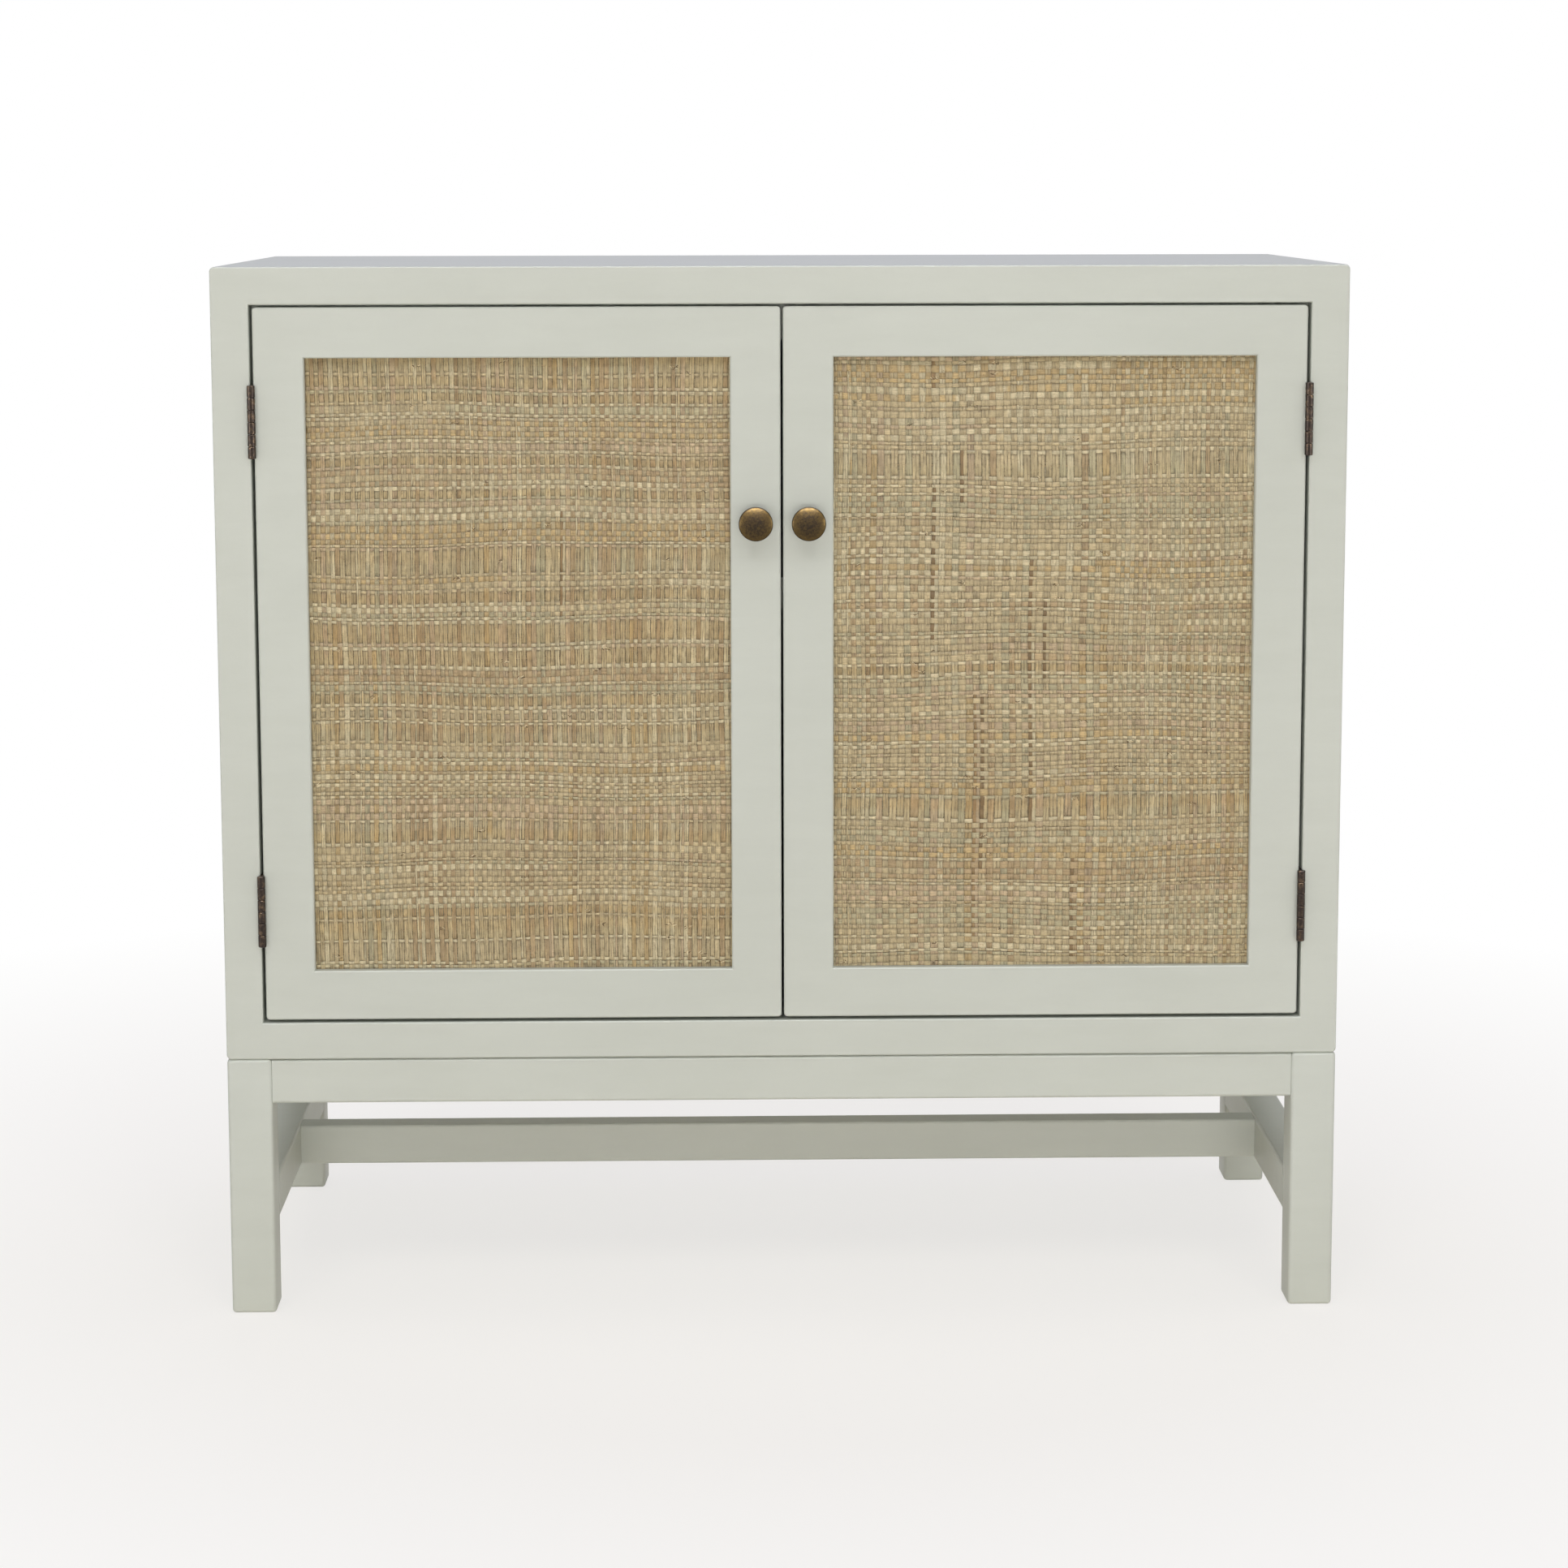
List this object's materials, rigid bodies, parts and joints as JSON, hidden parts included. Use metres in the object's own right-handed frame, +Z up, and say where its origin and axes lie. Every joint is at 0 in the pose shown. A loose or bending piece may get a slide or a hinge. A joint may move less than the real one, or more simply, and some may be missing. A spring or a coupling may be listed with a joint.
{
  "type": "record cabinet",
  "caption": "Painted wooden record cabinet on an open stand, with inset framed doors of woven raffia on butt hinges, a shelf inside and turned knobs.",
  "frame": {"origin": "on the floor, at the middle of the overall box", "axes": "+X to the right seen from the front, +Y towards the back, +Z up"},
  "size_m": [0.9, 0.422, 0.85],
  "materials": {
    "painted_wood": "satin off-white paint on wood",
    "woven_raffia": "natural woven raffia, matt",
    "backing_plywood": "thin plywood",
    "bare_wood": "bare planed wood",
    "antique_brass": "antique brass, mottled",
    "bronzed_steel": "dark bronze plating",
    "zinc_steel": "zinc plated"
  },
  "bodies": {
    "cabinet": {"back_panel": "painted_wood", "back_panel_screws": "zinc_steel", "bottom_board": "painted_wood", "catch_magnets": "zinc_steel", "door_stop_rail": "painted_wood", "frame_leaf_screws": "bronzed_steel", "front_apron": "painted_wood", "front_cleat": "bare_wood", "left_apron": "painted_wood", "left_lower_frame_leaf": "bronzed_steel", "left_lower_hinge_pin": "bronzed_steel", "left_side_board": "painted_wood", "left_stretcher": "painted_wood", "left_upper_frame_leaf": "bronzed_steel", "left_upper_hinge_pin": "bronzed_steel", "leg_front_left": "painted_wood", "leg_front_right": "painted_wood", "leg_rear_left": "painted_wood", "leg_rear_right": "painted_wood", "long_stretcher": "painted_wood", "rear_apron": "painted_wood", "rear_cleat": "bare_wood", "right_apron": "painted_wood", "right_lower_frame_leaf": "bronzed_steel", "right_lower_hinge_pin": "bronzed_steel", "right_side_board": "painted_wood", "right_stretcher": "painted_wood", "right_upper_frame_leaf": "bronzed_steel", "right_upper_hinge_pin": "bronzed_steel", "shelf": "painted_wood", "stand_screws": "zinc_steel", "top_board": "painted_wood"},
    "left_door": {"left_backing_board": "backing_plywood", "left_door_bottom_rail": "painted_wood", "left_door_leaf_screws": "bronzed_steel", "left_door_top_rail": "painted_wood", "left_hinge_stile": "painted_wood", "left_knob": "antique_brass", "left_knob_screw": "zinc_steel", "left_lower_door_leaf": "bronzed_steel", "left_meeting_stile": "painted_wood", "left_panel_beads": "painted_wood", "left_strike_plate": "zinc_steel", "left_upper_door_leaf": "bronzed_steel", "left_weave_panel": "woven_raffia"},
    "right_door": {"right_backing_board": "backing_plywood", "right_door_bottom_rail": "painted_wood", "right_door_leaf_screws": "bronzed_steel", "right_door_top_rail": "painted_wood", "right_hinge_stile": "painted_wood", "right_knob": "antique_brass", "right_knob_screw": "zinc_steel", "right_lower_door_leaf": "bronzed_steel", "right_meeting_stile": "painted_wood", "right_panel_beads": "painted_wood", "right_strike_plate": "zinc_steel", "right_upper_door_leaf": "bronzed_steel", "right_weave_panel": "woven_raffia"}
  },
  "joints": [
    {"name": "left_door_hinge", "type": "hinge", "parent": "cabinet", "child": "left_door", "pos_m": [-0.4187, -0.1925, 0.531], "axis": [0, 0, -1], "range_deg": [0, 180]},
    {"name": "right_door_hinge", "type": "hinge", "parent": "cabinet", "child": "right_door", "pos_m": [0.4187, -0.1925, 0.531], "axis": [0, 0, 1], "range_deg": [0, 180]}
  ]
}
